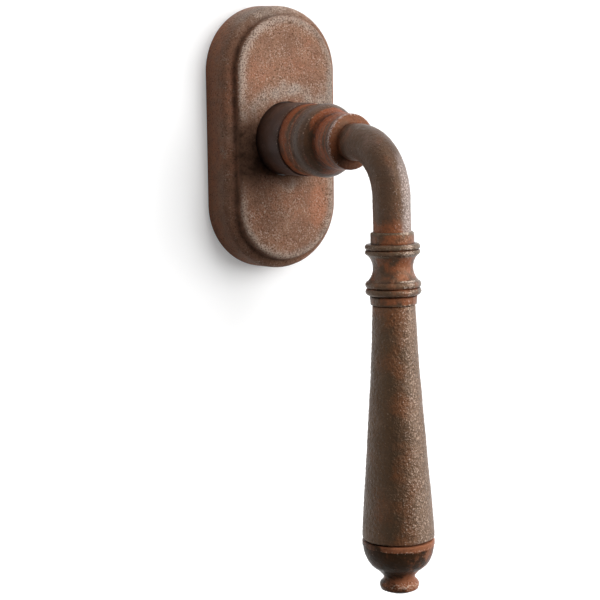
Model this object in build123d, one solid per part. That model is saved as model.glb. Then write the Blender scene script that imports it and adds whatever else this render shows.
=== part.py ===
from build123d import *
import os
from math import atan2, degrees, hypot, radians, sqrt, tan

# Tilt and turn window handle: a rose on the sash, a neck that turns in it and a drop grip.
# The origin lies on the spindle axis in the plane of the sash face.
# The room is towards -Y, the sash towards +Y, and +Z is up.
# A depth is a distance out from the sash face, so a point at depth d has y = -d.
# A station is a distance down the grip axis from where it crosses the spindle axis.

# Rose cover
rose_width = 35.2
rose_height = 70.2
rose_wall = 2.0
skirt_depth = 7.55
skirt_draft = 0.3
shoulder_radius = 2.4
face_rise = 2.35
face_step = 2.75
face_edge_radius = 1.2
riser_fillet = 1.0
rim_gap = 0.1
cover_hole_gap = 0.25

# Base plate with its housing block
plate_thickness = 3.2
plate_edge_gap = 0.3
block_height = 32.0
block_corner_radius = 4.0
block_side_gap = 0.3
cover_seat_gap = 0.2
screw_spacing = 43.0
spigot_radius = 5.0
spigot_length = 8.0

# Fixing screws, M5 countersunk
screw_radius = 2.5
screw_length = 40.0
screw_shank_radius = 2.4
screw_shank_length = 12.6
screw_head_radius = 4.6
screw_head_land = 0.2
screw_gap = 0.1
screw_tip_chamfer = 0.6
cross_slot_length = 5.0
cross_slot_width = 1.0
cross_slot_depth = 1.5

# Bearing sleeve, bush and thrust washer
sleeve_radius = 9.545
sleeve_reveal = 10.0
sleeve_edge_radius = 0.25
seat_gap = 0.02
running_gap = 0.05
bush_wall = 0.95
sleeve_spigot_wall = 1.1
counterbore_depth = 1.8
counterbore_rim = 0.8
washer_thickness = 0.6

# Neck that turns in the sleeve
journal_radius = 6.5
tongue_gap = 0.15
barrel_root_radius = 9.1
barrel_radius = 9.25
barrel_crest = 2.4
barrel_length = 5.35
step_radius = 9.02
ridge_radius = 9.4
ridge_rise = 3.3
ridge_fall = 4.9
cove_radius = 6.8
nose_radius = 7.15
nose_length = 5.4
nose_end_radius = 6.75

# Lever arm
tenon_radius = 4.6
tenon_length = 15.1
tenon_end_gap = 0.2
seam_gap = 0.1
flange_radius = 7.0
flange_rim_radius = 6.6
flange_width = 0.95
flange_shoulder = 0.2
rod_radius = 4.6
rod_lead = 2.85
bend_radius = 13.5
grip_tilt = 1.85
drop_length = 7.95
rod_socket_length = 2.4
tang_radius = 3.0
tang_setback = 2.5

# Grip collar: a lead band, two pairs of beads with a waist between them, and a foot band
lead_band_radius = 5.28
lead_band_edge = 0.5
lead_band_length = 3.6
upper_bead_radius = 6.7
upper_bead_pitch = 1.3
upper_bead_thickness = 1.45
waist_radius = 4.89
waist_edge_radius = 6.1
waist_upper_length = 4.0
waist_lower_length = 3.8
lower_bead_radius = 6.78
lower_bead_pitch = 1.65
lower_bead_thickness = 1.9
foot_band_radius = 5.8
foot_band_length = 3.2
foot_band_end_radius = 5.6

# Grip sleeve and finial
grip_gap = 0.1
grip_length = 57.8
grip_top_radius = 5.25
grip_upper_length = 14.7
grip_upper_radius = 5.88
grip_lower_length = 35.5
grip_lower_radius = 7.35
grip_end_radius = 8.85
grip_edge_radius = 0.5
finial_gap = 0.3
finial_lip_radius = 8.92
finial_lip_length = 1.3
finial_edge_radius = 0.45
dome_radius = 8.75
dome_upper_length = 3.75
dome_upper_radius = 8.33
dome_mid_length = 6.2
dome_mid_radius = 7.05
dome_lower_length = 8.1
dome_lower_radius = 4.9
dome_length = 9.75
finial_neck_radius = 3.87
button_radius = 4.85
button_crest = 1.7
button_edge = 2.8
button_edge_radius = 4.55
button_length = 4.1

# Spindle and its pin
spindle_width = 7.0
spindle_corner = 0.5
spindle_reach = 35.0
spindle_chamfer = 0.4
spindle_engagement = 20.5
socket_end_gap = 0.2
pin_radius = 1.25
pin_setback = 9.6
pin_end_gap = 0.1

# Detent and retaining parts, stacked from the back of the housing block
stack_gap = 0.1
retainer_recess = 0.2
retainer_thickness = 1.0
retainer_width = 22.0
retainer_height = 30.0
retainer_hole_gap = 0.3
cam_width = 13.0
cam_thickness = 2.0
cam_corner_radius = 1.5
journal_land = 0.4
ring_thickness = 0.8
ring_width = 2.0
ring_groove = 0.6
ring_opening = 4.0
ring_lug_radius = 1.3
ring_lug_hole_radius = 0.5
disc_height = 0.7
disc_thickness = 0.4
disc_edge_gap = 0.2
leaf_thickness = 0.6
leaf_length = 24.6
leaf_seat_length = 2.2
leaf_room = 0.3
retainer_screw_radius = 1.0
retainer_screw_head_radius = 1.6
retainer_screw_land = 0.15
retainer_screw_length = 4.5
retainer_screw_margin = 2.1

# Clips that hold the cover on
clip_width = 6.0
clip_thickness = 0.4
clip_foot_length = 5.0
clip_height = 3.4
clip_gap = 0.1
rivet_radius = 1.0
rivet_head_radius = 1.7
rivet_head_height = 0.6
rivet_length = 2.5

# Rose and base places that follow from the sizes above
rose_radius = rose_width / 2
straight_half = rose_height / 2 - rose_radius
cavity_radius = rose_radius - rose_wall
shoulder_depth = skirt_depth + shoulder_radius
shoulder_reach = rose_radius - skirt_draft
face_depth = shoulder_depth + face_rise
face_radius = rose_radius - face_step
face_cavity_radius = face_radius - rose_wall
face_cavity_depth = face_depth - rose_wall
block_width = 2 * (face_cavity_radius - block_side_gap)
block_depth = face_cavity_depth - cover_seat_gap
screw_z = screw_spacing / 2

# Stack behind the housing block
retainer_front_depth = retainer_recess + retainer_thickness
cam_back_depth = retainer_front_depth + stack_gap
cam_front_depth = cam_back_depth + cam_thickness
journal_end_depth = cam_front_depth + stack_gap
ring_back_depth = journal_end_depth + journal_land
ring_front_depth = ring_back_depth + ring_thickness
disc_back_depth = ring_front_depth + running_gap
disc_front_depth = disc_back_depth + disc_height
pocket_depth = disc_front_depth + running_gap
groove_radius = journal_radius - ring_groove
ring_radius = groove_radius + ring_width
retainer_screw_x = retainer_width / 2 - retainer_screw_margin
retainer_screw_z = retainer_height / 2 - retainer_screw_margin

# Bearing
sleeve_front_depth = face_depth + sleeve_reveal
bush_inner_radius = journal_radius + running_gap
bush_outer_radius = bush_inner_radius + bush_wall
sleeve_bore_radius = bush_outer_radius + seat_gap
sleeve_spigot_radius = sleeve_bore_radius + sleeve_spigot_wall
counterbore_radius = sleeve_radius - counterbore_rim
counterbore_floor = sleeve_front_depth - counterbore_depth
washer_front_depth = counterbore_floor + washer_thickness

# Neck and lever
neck_back_depth = washer_front_depth + running_gap
tongue_radius = counterbore_radius - tongue_gap
neck_root_depth = sleeve_front_depth + running_gap
step_depth = neck_root_depth + barrel_length
ridge_depth = step_depth + ridge_rise
cove_depth = ridge_depth + ridge_fall
neck_front_depth = cove_depth + nose_length
flange_back_depth = neck_front_depth + seam_gap
flange_front_depth = flange_back_depth + flange_width
rod_start_depth = flange_front_depth + flange_shoulder
tenon_end_depth = flange_back_depth - tenon_length
bend_tangent = bend_radius * tan(radians(90 - grip_tilt) / 2)
arm_reach = rod_start_depth + rod_lead + bend_tangent
spindle_inner_depth = journal_end_depth + spindle_engagement
spindle_corner_reach = sqrt(2) * (spindle_width / 2 - spindle_corner) + spindle_corner
pin_depth = journal_end_depth + pin_setback

# Stations of the grip
collar_start = bend_tangent + drop_length
rod_end = collar_start + rod_socket_length
upper_bead_station = collar_start + lead_band_length
waist_station = upper_bead_station + upper_bead_pitch + waist_upper_length
lower_bead_station = waist_station + waist_lower_length
collar_end = lower_bead_station + lower_bead_pitch + foot_band_length
grip_start = collar_end + grip_gap
grip_end = grip_start + grip_length
finial_start = grip_end + finial_gap
finial_neck = finial_start + dome_length
finial_end = finial_neck + button_length
tang_end = finial_neck - tang_setback
tang_bore_radius = tang_radius + running_gap

# Detent springs and their room
cam_half = cam_width / 2
cam_corner_reach = sqrt(2) * (cam_half - cam_corner_radius) + cam_corner_radius
leaf_inner_x = cam_half + running_gap
leaf_outer_x = leaf_inner_x + leaf_thickness
pocket_half_width = leaf_outer_x + cam_corner_reach - cam_half + leaf_room
pocket_half_length = leaf_length / 2 + stack_gap
leaf_seat_z = pocket_half_length - leaf_seat_length

# Cover clips
clip_end_z = straight_half + sqrt(cavity_radius**2 - (clip_width / 2) ** 2) - clip_gap
clip_middle_z = clip_end_z - clip_foot_length / 2
clip_front_depth = plate_thickness + clip_thickness


def stadium(radius):
    """The rose's upright outline, at this distance from its centre line."""
    return SlotOverall(2 * (straight_half + radius), 2 * radius, rotation=90)


def slab(outline, back, front, draft=0.0):
    """An outline in X and Z, thickened from one depth to another, with a draft in degrees."""
    return extrude(Plane.XZ.offset(back) * outline, amount=front - back, taper=draft)


def bar(radius, back, front, z=0.0):
    """A round bar parallel to the spindle axis."""
    return slab(Pos(0, z) * Circle(radius), back, front)


def tube(inner, outer, back, front):
    return bar(outer, back, front) - bar(inner, back, front)


def at(station, radius):
    """A point of a half section, at a depth or at a station of the grip."""
    return (radius, -station)


def turned(*curves):
    """A turned solid from the curves that close its half section."""
    return revolve(make_face(curves), axis=Axis.Y)


def turned_outline(*points):
    """A turned solid whose half section has straight sides."""
    return turned(Polyline(*points, close=True))


def on_grip(part):
    """Moves a part drawn along the spindle axis onto the tilted grip axis."""
    return Pos(0, -arm_reach, 0) * Rot(90 - grip_tilt, 0, 0) * part


def mirrored_down(part):
    """The lower twin of an upper part."""
    return mirror(part, about=Plane.XY)


def edges_at(part, depth):
    return part.edges().filter_by_position(Axis.Y, -depth - 0.01, -depth + 0.01)


def outline_edges(part, depth, radius):
    """The edges at this depth that follow the rose's outline at this radius."""

    def off_centre_line(edge):
        middle = edge @ 0.5
        return hypot(middle.X, max(abs(middle.Z) - straight_half, 0))

    return edges_at(part, depth).filter_by(lambda edge: abs(off_centre_line(edge) - radius) < 0.01)


def rim(part, depth, radius):
    """The circular edge of a turned part at this depth and radius."""
    circles = edges_at(part, depth).filter_by(GeomType.CIRCLE)
    return circles.filter_by(lambda edge: abs(edge.radius - radius) < 0.01)


def rose_cover():
    draft = degrees(atan2(skirt_draft, shoulder_depth - rim_gap))
    skirt = slab(stadium(rose_radius), rim_gap, shoulder_depth, draft)
    skirt = fillet(outline_edges(skirt, shoulder_depth, shoulder_reach), shoulder_radius)
    face = slab(stadium(face_radius), rim_gap, face_depth)
    face = fillet(outline_edges(face, face_depth, face_radius), face_edge_radius)
    cover = skirt + face
    cover = fillet(outline_edges(cover, shoulder_depth, face_radius), riser_fillet)
    cover -= slab(stadium(cavity_radius), 0, shoulder_depth - rose_wall)
    cover -= slab(stadium(face_cavity_radius), 0, face_cavity_depth)
    return cover - bar(sleeve_radius + cover_hole_gap, 0, face_depth + 1)


def pocket():
    """Room for the cam and the leaf springs, with seats for the leaf ends."""
    wide = Rectangle(2 * pocket_half_width, 2 * leaf_seat_z)
    narrow = Rectangle(2 * (leaf_outer_x + stack_gap), 2 * pocket_half_length)
    return slab(wide + narrow, 0, pocket_depth)


def countersunk_bar(radius, head_radius, land, tip, front):
    """A round bar on the spindle axis with a 90 degree head, from its tip to its front."""
    return turned_outline(
        at(tip, 0),
        at(tip, radius),
        at(front - land - (head_radius - radius), radius),
        at(front - land, head_radius),
        at(front, head_radius),
        at(front, 0),
    )


def fixing_screw_hole():
    return countersunk_bar(
        screw_radius + screw_gap,
        screw_head_radius + screw_gap,
        screw_head_land,
        -spigot_length - 1,
        plate_thickness,
    )


def fixing_screw():
    tip = plate_thickness - screw_length
    thread_start = plate_thickness - screw_shank_length
    screw = countersunk_bar(
        screw_shank_radius, screw_head_radius, screw_head_land, thread_start, plate_thickness
    )
    screw += bar(screw_radius, tip, thread_start)
    screw = chamfer(rim(screw, tip, screw_radius), screw_tip_chamfer)
    cross = Rectangle(cross_slot_length, cross_slot_width) + Rectangle(cross_slot_width, cross_slot_length)
    return Pos(0, 0, screw_z) * (screw - slab(cross, plate_thickness - cross_slot_depth, plate_thickness))


def retainer_screw(gap=0.0):
    """A small countersunk screw with its head at the back, or the hole for one when it has a gap."""
    screw = countersunk_bar(
        retainer_screw_radius + gap,
        retainer_screw_head_radius + gap,
        retainer_screw_land,
        -retainer_recess - retainer_screw_length - gap,
        -retainer_recess,
    )
    return mirror(screw, about=Plane.XZ)


def retainer_screws(gap=0.0):
    places = GridLocations(2 * retainer_screw_x, 2 * retainer_screw_z, 2, 2)
    return [Pos(place.position.X, 0, place.position.Y) * retainer_screw(gap) for place in places]


def base_plate():
    plate = slab(stadium(cavity_radius - plate_edge_gap), 0, plate_thickness)
    plate += slab(RectangleRounded(block_width, block_height, block_corner_radius), 0, block_depth)
    rivet_bore = bar(
        rivet_radius + seat_gap, plate_thickness - rivet_length - stack_gap, plate_thickness, clip_middle_z
    )
    for side in (1, -1):
        plate += bar(spigot_radius, -spigot_length, 0, side * screw_z)
        plate -= Pos(0, 0, side * screw_z) * fixing_screw_hole()
        plate -= rivet_bore if side == 1 else mirrored_down(rivet_bore)
    plate -= slab(
        Rectangle(retainer_width + 2 * stack_gap, retainer_height + 2 * stack_gap), 0, retainer_front_depth
    )
    plate -= pocket()
    plate -= bar(sleeve_spigot_radius + seat_gap, 0, block_depth)
    for hole in retainer_screws(seat_gap):
        plate -= hole
    return plate


def bearing_sleeve():
    sleeve = bar(sleeve_radius, block_depth, sleeve_front_depth)
    sleeve = fillet(rim(sleeve, sleeve_front_depth, sleeve_radius), sleeve_edge_radius)
    sleeve += bar(sleeve_spigot_radius, pocket_depth, block_depth)
    sleeve -= bar(sleeve_bore_radius, 0, sleeve_front_depth)
    return sleeve - bar(counterbore_radius, counterbore_floor, sleeve_front_depth)


def journal_bush():
    return tube(bush_inner_radius, bush_outer_radius, pocket_depth, counterbore_floor)


def thrust_washer():
    return tube(bush_inner_radius, counterbore_radius - stack_gap, counterbore_floor, washer_front_depth)


def detent_spring():
    """The leaf on the +X side of the cam."""
    leaf = Pos((leaf_inner_x + leaf_outer_x) / 2, 0) * Rectangle(leaf_thickness, leaf_length)
    return slab(leaf, cam_back_depth, cam_front_depth)


def spring_retainer():
    plate = slab(Rectangle(retainer_width, retainer_height), retainer_recess, retainer_front_depth)
    plate -= bar(spindle_corner_reach + retainer_hole_gap, 0, retainer_front_depth)
    for hole in retainer_screws(seat_gap):
        plate -= hole
    return plate


def cover_clip():
    """The upper clip: a foot on the plate and a finger that presses on the cover's end wall."""
    foot = slab(
        Pos(0, clip_middle_z) * Rectangle(clip_width, clip_foot_length), plate_thickness, clip_front_depth
    )
    finger = slab(
        Pos(0, clip_end_z - clip_thickness / 2) * Rectangle(clip_width, clip_thickness),
        plate_thickness,
        plate_thickness + clip_height,
    )
    return foot + finger - bar(rivet_radius + seat_gap, plate_thickness, clip_front_depth, clip_middle_z)


def clip_rivet():
    shank = bar(rivet_radius, plate_thickness - rivet_length, clip_front_depth, clip_middle_z)
    head = bar(rivet_head_radius, clip_front_depth, clip_front_depth + rivet_head_height, clip_middle_z)
    head = fillet(rim(head, clip_front_depth + rivet_head_height, rivet_head_radius), rivet_head_height / 2)
    return shank + head


def spindle_pin(gap=0.0):
    """The cross pin through journal and spindle, or with a gap the hole for it."""
    half_length = sqrt(journal_radius**2 - pin_radius**2) - pin_end_gap
    if gap:
        half_length = journal_radius + 1
    pin = Cylinder(pin_radius + gap, 2 * half_length, rotation=(0, 90, 0))
    return Pos(0, -pin_depth, 0) * pin


def handle_neck():
    """Journal, tongue and ringed barrel, with the spindle socket at the back and the tenon bore in front."""
    neck = turned(
        Polyline(
            at(neck_front_depth, nose_end_radius),
            at(neck_front_depth, 0),
            at(journal_end_depth, 0),
            at(journal_end_depth, journal_radius),
            at(neck_back_depth, journal_radius),
            at(neck_back_depth, tongue_radius),
            at(neck_root_depth, tongue_radius),
            at(neck_root_depth, barrel_root_radius),
        ),
        ThreePointArc(
            at(neck_root_depth, barrel_root_radius),
            at(neck_root_depth + barrel_crest, barrel_radius),
            at(step_depth, step_radius),
        ),
        Spline(at(step_depth, step_radius), at(ridge_depth, ridge_radius), tangents=[(0.3, -1), (0, -1)]),
        Spline(at(ridge_depth, ridge_radius), at(cove_depth, cove_radius), tangents=[(0, -1), (0, -1)]),
        ThreePointArc(
            at(cove_depth, cove_radius),
            at(cove_depth + nose_length / 2, nose_radius),
            at(neck_front_depth, nose_end_radius),
        ),
    )
    neck -= tube(groove_radius, journal_radius + 1, ring_back_depth, disc_back_depth)
    socket = Rectangle(spindle_width + 2 * running_gap, spindle_width + 2 * running_gap)
    neck -= slab(socket, 0, spindle_inner_depth + socket_end_gap)
    neck -= bar(tenon_radius + running_gap, tenon_end_depth - tenon_end_gap, neck_front_depth)
    return neck - spindle_pin(running_gap)


def lever_arm():
    """Tenon, flange, bent rod and the tang that runs through the grip."""
    head = turned(
        Polyline(
            at(rod_start_depth, 0),
            at(tenon_end_depth, 0),
            at(tenon_end_depth, tenon_radius),
            at(flange_back_depth, tenon_radius),
            at(flange_back_depth, flange_rim_radius),
        ),
        ThreePointArc(
            at(flange_back_depth, flange_rim_radius),
            at(flange_back_depth + flange_width / 2, flange_radius),
            at(flange_front_depth, flange_rim_radius),
        ),
        Polyline(
            at(flange_front_depth, flange_rim_radius),
            at(rod_start_depth, rod_radius),
            at(rod_start_depth, 0),
        ),
    )
    axes_cross = Vector(0, -arm_reach, 0)
    rod_tip = on_grip(Pos(0, -rod_end, 0)).position
    path = FilletPolyline((0, -flange_front_depth, 0), axes_cross, rod_tip, radius=bend_radius)
    rod = sweep(Plane.XZ.offset(flange_front_depth) * Circle(rod_radius), path)
    tang = on_grip(bar(tang_radius, rod_end - tang_radius, tang_end))
    return head + rod + tang


def square_spindle():
    spindle = slab(
        RectangleRounded(spindle_width, spindle_width, spindle_corner), -spindle_reach, spindle_inner_depth
    )
    spindle = chamfer(edges_at(spindle, -spindle_reach), spindle_chamfer)
    return spindle - spindle_pin(running_gap)


def detent_cam():
    cam = slab(RectangleRounded(cam_width, cam_width, cam_corner_radius), cam_back_depth, cam_front_depth)
    hole = Rectangle(spindle_width + 2 * running_gap, spindle_width + 2 * running_gap)
    return cam - slab(hole, cam_back_depth, cam_front_depth)


def retaining_ring():
    """Open ring in the journal's groove, with two lugs for pliers beside its opening."""
    lug_x = ring_opening / 2 + ring_lug_radius
    ring = Circle(ring_radius) - Circle(groove_radius + seat_gap)
    ring -= Pos(0, -ring_radius) * Rectangle(ring_opening, 2 * ring_radius)
    for x in (-lug_x, lug_x):
        ring += Pos(x, -ring_radius + ring_lug_radius / 2) * Circle(ring_lug_radius)
        ring -= Pos(x, -ring_radius + ring_lug_radius / 2) * Circle(ring_lug_hole_radius)
    return slab(ring, ring_back_depth, ring_front_depth)


def disc_spring():
    outer_radius = sleeve_spigot_radius - disc_edge_gap
    return turned_outline(
        at(disc_back_depth, bush_inner_radius),
        at(disc_back_depth + disc_thickness, bush_inner_radius),
        at(disc_front_depth, outer_radius),
        at(disc_front_depth - disc_thickness, outer_radius),
    )


def bead(station, outer_radius, thickness):
    half = thickness / 2
    return turned(Pos(outer_radius - half, -station) * Circle(half).edge())


def grip_collar():
    upper_core = upper_bead_radius - upper_bead_thickness / 2
    lower_core = lower_bead_radius - lower_bead_thickness / 2
    second_upper = upper_bead_station + upper_bead_pitch
    second_lower = lower_bead_station + lower_bead_pitch
    waist_start = at(second_upper + upper_bead_thickness / 2, waist_edge_radius)
    waist_stop = at(lower_bead_station - lower_bead_thickness / 2, waist_edge_radius)
    foot_start = at(second_lower + lower_bead_thickness / 2, foot_band_radius)
    foot_stop = at(collar_end, foot_band_end_radius)
    edge_start = at(collar_start, lead_band_radius - lead_band_edge)
    edge_stop = at(collar_start + lead_band_edge, lead_band_radius)
    collar = turned(
        Polyline(foot_stop, at(collar_end, 0), at(collar_start, 0), edge_start),
        RadiusArc(edge_start, edge_stop, lead_band_edge),
        Polyline(
            edge_stop,
            at(upper_bead_station, lead_band_radius),
            at(upper_bead_station, upper_core),
            at(second_upper, upper_core),
            waist_start,
        ),
        ThreePointArc(waist_start, at(waist_station, waist_radius), waist_stop),
        Polyline(waist_stop, at(lower_bead_station, lower_core), at(second_lower, lower_core), foot_start),
        Line(foot_start, foot_stop),
    )
    for station in (upper_bead_station, second_upper):
        collar += bead(station, upper_bead_radius, upper_bead_thickness)
    for station in (lower_bead_station, second_lower):
        collar += bead(station, lower_bead_radius, lower_bead_thickness)
    collar -= bar(rod_radius + running_gap, 0, rod_end + running_gap)
    return on_grip(collar - bar(tang_bore_radius, 0, collar_end))


def grip_sleeve():
    top = at(grip_start, grip_top_radius)
    bottom = at(grip_end, grip_end_radius)
    sleeve = turned(
        Spline(
            top,
            at(grip_start + grip_upper_length, grip_upper_radius),
            at(grip_start + grip_lower_length, grip_lower_radius),
            bottom,
        ),
        Polyline(bottom, at(grip_end, tang_bore_radius), at(grip_start, tang_bore_radius), top),
    )
    ends = rim(sleeve, grip_start, grip_top_radius) + rim(sleeve, grip_end, grip_end_radius)
    return on_grip(fillet(ends, grip_edge_radius))


def grip_finial():
    lip_start = at(finial_start, finial_lip_radius - finial_edge_radius)
    lip_crest = at(finial_start + finial_edge_radius, finial_lip_radius)
    lip_stop = at(finial_start + finial_lip_length, finial_lip_radius)
    dome_start = at(finial_start + finial_lip_length, dome_radius)
    waist = at(finial_neck, finial_neck_radius)
    edge = at(finial_neck + button_edge, button_edge_radius)
    tip = at(finial_end, 0)
    finial = turned(
        Polyline(tip, at(finial_start, 0), lip_start),
        RadiusArc(lip_start, lip_crest, finial_edge_radius),
        Polyline(lip_crest, lip_stop, dome_start),
        Spline(
            dome_start,
            at(finial_start + dome_upper_length, dome_upper_radius),
            at(finial_start + dome_mid_length, dome_mid_radius),
            at(finial_start + dome_lower_length, dome_lower_radius),
            waist,
            tangents=[(0, -1), (0, -1)],
        ),
        Spline(waist, at(finial_neck + button_crest, button_radius), edge, tangents=[(0, -1), (-0.4, -1)]),
        Spline(edge, tip, tangents=[(-2, -1), (-1, 0)]),
    )
    return on_grip(finial - bar(tang_bore_radius, 0, tang_end + stack_gap))


parts = {
    "base_plate": base_plate(),
    "bearing_sleeve": bearing_sleeve(),
    "journal_bush": journal_bush(),
    "thrust_washer": thrust_washer(),
    "detent_spring_right": detent_spring(),
    "detent_spring_left": mirror(detent_spring(), about=Plane.YZ),
    "spring_retainer": spring_retainer(),
    "retainer_screws": Compound(children=retainer_screws()),
    "fixing_screw_upper": fixing_screw(),
    "fixing_screw_lower": mirrored_down(fixing_screw()),
    "cover_clip_upper": cover_clip(),
    "cover_clip_lower": mirrored_down(cover_clip()),
    "clip_rivets": Compound(children=[clip_rivet(), mirrored_down(clip_rivet())]),
    "rose_cover": rose_cover(),
    "handle_neck": handle_neck(),
    "lever_arm": lever_arm(),
    "square_spindle": square_spindle(),
    "spindle_pin": spindle_pin(),
    "detent_cam": detent_cam(),
    "retaining_ring": retaining_ring(),
    "disc_spring": disc_spring(),
    "grip_collar": grip_collar(),
    "grip_sleeve": grip_sleeve(),
    "grip_finial": grip_finial(),
}

os.makedirs("parts", exist_ok=True)
for node, shape in parts.items():
    export_step(shape, f"parts/{node}.step")
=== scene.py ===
from math import asin, atan2, cos, degrees, exp, hypot, pi, radians, sin, tan

import bmesh
import bpy
import numpy as np
from mathutils import Matrix, Vector, noise


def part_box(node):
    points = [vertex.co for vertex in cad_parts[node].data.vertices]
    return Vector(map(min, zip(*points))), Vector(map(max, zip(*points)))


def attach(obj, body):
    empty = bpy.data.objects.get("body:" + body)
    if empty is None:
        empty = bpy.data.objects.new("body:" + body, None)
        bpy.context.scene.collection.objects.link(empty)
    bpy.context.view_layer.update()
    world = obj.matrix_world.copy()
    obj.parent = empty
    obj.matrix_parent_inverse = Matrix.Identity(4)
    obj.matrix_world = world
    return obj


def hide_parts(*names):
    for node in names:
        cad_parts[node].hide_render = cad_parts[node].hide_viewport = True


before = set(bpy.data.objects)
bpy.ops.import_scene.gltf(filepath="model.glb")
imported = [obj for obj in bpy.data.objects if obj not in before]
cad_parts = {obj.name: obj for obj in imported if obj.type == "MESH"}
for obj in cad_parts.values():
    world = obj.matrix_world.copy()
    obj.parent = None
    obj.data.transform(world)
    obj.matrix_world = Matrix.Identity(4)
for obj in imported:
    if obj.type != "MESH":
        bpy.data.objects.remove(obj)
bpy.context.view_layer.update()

# Sizes are in millimetres until a mesh is finished, and MM brings them to the frame's metres.
# A depth is a distance out from the sash face, a station a distance down the grip axis.
MM = 0.001

# Usual lengths of a mesh edge, on surfaces that show and on inner ones
FINE = 0.27
COARSE = 1.5


def depths(node):
    """How deep a node begins and ends, out from the sash face."""
    low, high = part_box(node)
    return -high.y / MM, -low.y / MM


def half_width(node):
    """Half a node's width, which is its radius where it is turned on the spindle axis."""
    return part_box(node)[1].x / MM


# Rose
rose_radius = half_width("rose_cover")
rose_back, face_depth = depths("rose_cover")
straight_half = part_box("rose_cover")[1].z / MM - rose_radius
rose_wall = 2.0
skirt_draft = 0.3
shoulder_radius = 2.4
face_rise = 2.35
face_step = 2.75
face_edge_radius = 1.2
riser_fillet = 1.0
cover_hole_gap = 0.25

# Bearing sleeve
sleeve_radius = half_width("bearing_sleeve")
sleeve_back, sleeve_front = depths("bearing_sleeve")
sleeve_edge_radius = 0.25
sleeve_bore = 7.52
sleeve_spigot = 8.62
counterbore_depth = 1.8
counterbore_rim = 0.8
block_depth = depths("base_plate")[1]

# Neck
neck_back, neck_front = depths("handle_neck")
running_gap = 0.05
journal_radius = 6.5
groove_radius = 5.9
tongue_radius = 8.595
neck_root = sleeve_front + running_gap
barrel_root_radius = 9.1
barrel_radius = 9.25
barrel_crest = 2.4
barrel_length = 5.35
step_radius = 9.02
ridge_radius = half_width("handle_neck")
ridge_rise = 3.3
ridge_fall = 4.9
cove_radius = 6.8
nose_radius = 7.15
nose_length = 5.4
nose_end_radius = 6.75

# Lever arm
tenon_radius = 4.6
tenon_end_gap = 0.2
seam_gap = 0.1
flange_radius = 7.0
flange_rim_radius = 6.6
flange_width = 0.95
flange_shoulder = 0.2
rod_radius = 4.6
rod_fillet = 0.3
rod_lead = 2.85
bend_radius = 13.5
grip_tilt = 1.85
drop_length = 7.95
rod_socket_length = 2.4
tang_radius = 3.0

# Collar
lead_band_radius = 5.28
lead_band_edge = 0.5
lead_band_length = 3.6
upper_bead_radius = 6.7
upper_bead_pitch = 1.3
upper_bead_thickness = 1.45
waist_radius = 4.89
waist_edge_radius = 6.1
waist_upper_length = 4.0
waist_lower_length = 3.8
lower_bead_radius = 6.78
lower_bead_pitch = 1.65
lower_bead_thickness = 1.9
foot_band_radius = 5.8
foot_band_length = 3.2
foot_band_end_radius = 5.6

# Grip and finial
grip_gap = 0.1
grip_length = 57.8
grip_top_radius = 5.25
grip_upper_length = 14.7
grip_upper_radius = 5.88
grip_lower_length = 35.5
grip_lower_radius = 7.35
grip_end_radius = 8.85
grip_edge_radius = 0.5
finial_gap = 0.3
finial_lip_radius = 8.92
finial_lip_length = 1.3
finial_edge_radius = 0.45
dome_radius = 8.75
dome_upper_length = 3.75
dome_upper_radius = 8.33
dome_mid_length = 6.2
dome_mid_radius = 7.05
dome_lower_length = 8.1
dome_lower_radius = 4.9
dome_length = 9.75
finial_neck_radius = 3.87
button_radius = 4.85
button_crest = 1.7
button_edge = 2.8
button_edge_radius = 4.55
button_length = 4.1
tang_setback = 2.5
tang_end_gap = 0.1

# Places that follow: depths on the rose, neck and lever, then stations down the grip
shoulder_depth = face_depth - face_rise
skirt_depth = shoulder_depth - shoulder_radius
shoulder_reach = rose_radius - skirt_draft
face_radius = rose_radius - face_step
barrel_end = neck_root + barrel_length
ridge_depth = barrel_end + ridge_rise
cove_depth = ridge_depth + ridge_fall
flange_back = neck_front + seam_gap
flange_front = flange_back + flange_width
rod_start = flange_front + flange_shoulder
tenon_end = depths("lever_arm")[0]
bend_tangent = bend_radius * tan(radians(90 - grip_tilt) / 2)
arm_reach = rod_start + rod_lead + bend_tangent
collar_start = bend_tangent + drop_length
rod_end = collar_start + rod_socket_length
upper_bead = collar_start + lead_band_length
waist_station = upper_bead + upper_bead_pitch + waist_upper_length
lower_bead = waist_station + waist_lower_length
collar_end = lower_bead + lower_bead_pitch + foot_band_length
grip_start = collar_end + grip_gap
grip_end = grip_start + grip_length
finial_start = grip_end + finial_gap
lip_end = finial_start + finial_lip_length
finial_neck = finial_start + dome_length
finial_end = finial_neck + button_length
tang_end = finial_neck - tang_setback


# Half sections: lists of (station, radius) points

def line(start, end, step=FINE):
    """Evenly spaced points of a straight stretch, from start up to its end."""
    count = max(1, round(hypot(end[0] - start[0], end[1] - start[1]) / step))
    return [
        (start[0] + (end[0] - start[0]) * k / count, start[1] + (end[1] - start[1]) * k / count)
        for k in range(count + 1)
    ]


def corners(*points, step=COARSE):
    """Straight stretches from point to point, for the plain inner surfaces."""
    return [point for start, end in zip(points, points[1:]) for point in line(start, end, step)]


def arc(centre, radius, start, end, step=FINE):
    """Part of a circle, between two angles in degrees from the station axis."""
    count = max(3, round(radius * abs(radians(end - start)) / step))
    angles = [radians(start + (end - start) * k / count) for k in range(count + 1)]
    return [(centre[0] + radius * cos(angle), centre[1] + radius * sin(angle)) for angle in angles]


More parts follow.
